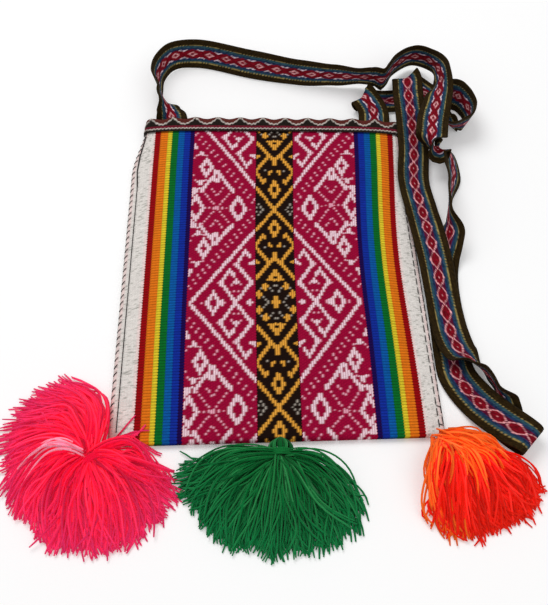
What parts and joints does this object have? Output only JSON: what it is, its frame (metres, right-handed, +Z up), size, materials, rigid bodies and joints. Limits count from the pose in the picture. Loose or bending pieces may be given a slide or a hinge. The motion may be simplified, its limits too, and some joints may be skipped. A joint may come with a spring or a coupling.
{
  "type": "woven pouch",
  "caption": "Flat hand-woven cloth pouch with an edged mouth, a long woven carrying strap and yarn tassels along its folded bottom.",
  "frame": {"origin": "on the resting surface under the middle of the pouch", "axes": "+Y from the folded bottom towards the mouth, +Z up from the surface it lies on, +X to the right seen from the front"},
  "size_m": [0.3149, 0.3889, 0.0306],
  "materials": {
    "cloth": "warp-faced wool cloth with coloured stripes",
    "edging": "narrow woven edging",
    "strap": "narrow warp-faced woven band",
    "pink_yarn": "loose soft yarn",
    "green_yarn": "loose soft yarn",
    "orange_yarn": "loose soft yarn"
  },
  "bodies": {
    "root": {"pouch_body": "cloth", "mouth_edging": "edging", "strap": "strap", "pink_tassel_yarn": "pink_yarn", "pink_tassel_tie": "pink_yarn", "green_tassel_yarn": "green_yarn", "green_tassel_tie": "green_yarn", "orange_tassel_yarn": "orange_yarn", "orange_tassel_tie": "orange_yarn"}
  },
  "joints": []
}
